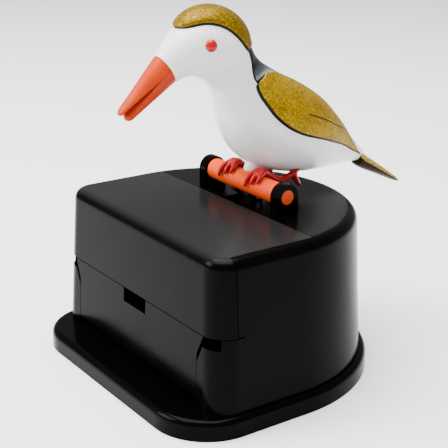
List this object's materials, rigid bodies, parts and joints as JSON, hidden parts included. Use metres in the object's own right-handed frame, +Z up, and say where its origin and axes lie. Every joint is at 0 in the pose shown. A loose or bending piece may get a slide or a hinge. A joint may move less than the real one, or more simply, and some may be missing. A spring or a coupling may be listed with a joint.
{
  "type": "bird toothpick dispenser",
  "caption": "Black D-shaped toothpick box with a sprung press-down bird on a perch, a clip-on cover and a swing-out pick cradle.",
  "frame": {"origin": "on the underside of the base plate, at the centre of the box's rear half circle", "axes": "+Z up, +Y to the rear (the bird's tail), -Y where the bird looks, X along the perch"},
  "size_m": [0.086, 0.1051, 0.1011],
  "materials": {
    "black_gloss": "glossy",
    "black_moulded": "satin",
    "steel": "satin",
    "white_plastic": "glossy",
    "gold_glitter": "glitter lacquer",
    "grey_paint": "satin paint",
    "orange_plastic": "glossy",
    "red_plastic": "glossy"
  },
  "bodies": {
    "case": {"base_plate": "black_gloss", "base_screws": "steel", "case_shell": "black_gloss", "toothpick_bin": "black_moulded", "bin_screws": "steel", "cradle_pivot_rod": "steel", "perch_post_left": "black_gloss", "perch_post_right": "black_gloss", "return_spring": "steel", "front_cover": "black_gloss"},
    "cradle": {"pick_cradle": "black_gloss", "link_pin": "steel"},
    "bird": {"perch_roller": "orange_plastic", "crank_bracket": "black_moulded", "crank_pin": "steel", "bird_body_left": "white_plastic", "bird_body_right": "white_plastic", "crest_cap": "gold_glitter", "nape_panel": "grey_paint", "wing_left": "gold_glitter", "wing_right": "gold_glitter", "tail": "gold_glitter", "beak_upper": "orange_plastic", "beak_lower": "orange_plastic", "eye_left": "red_plastic", "eye_right": "red_plastic", "belly_saddle": "white_plastic", "foot_left": "red_plastic", "foot_right": "red_plastic"},
    "link": {"pull_link": "black_moulded"}
  },
  "joints": [
    {"name": "bird_tilt", "type": "hinge", "parent": "case", "child": "bird", "pos_m": [0, 0.0107, 0.0509], "axis": [1, 0, 0], "range_deg": [0, 61], "stiffness_Nm_per_rad": 0.005, "springref_deg": -34.38, "deforming": ["return_spring"]},
    {"name": "cradle_swing", "type": "hinge", "parent": "case", "child": "cradle", "pos_m": [0, -0.021, 0.0176], "axis": [1, 0, 0], "range_deg": [0, 20.8]},
    {"name": "link_turn", "type": "hinge", "parent": "bird", "child": "link", "pos_m": [0, 0.01164, 0.04732], "axis": [1, 0, 0], "range_deg": [-61.1, 0]}
  ],
  "couplings": [
    {"joint": "cradle_swing", "follows": "bird_tilt", "ratio": 0.34},
    {"joint": "link_turn", "follows": "bird_tilt", "ratio": -1}
  ]
}
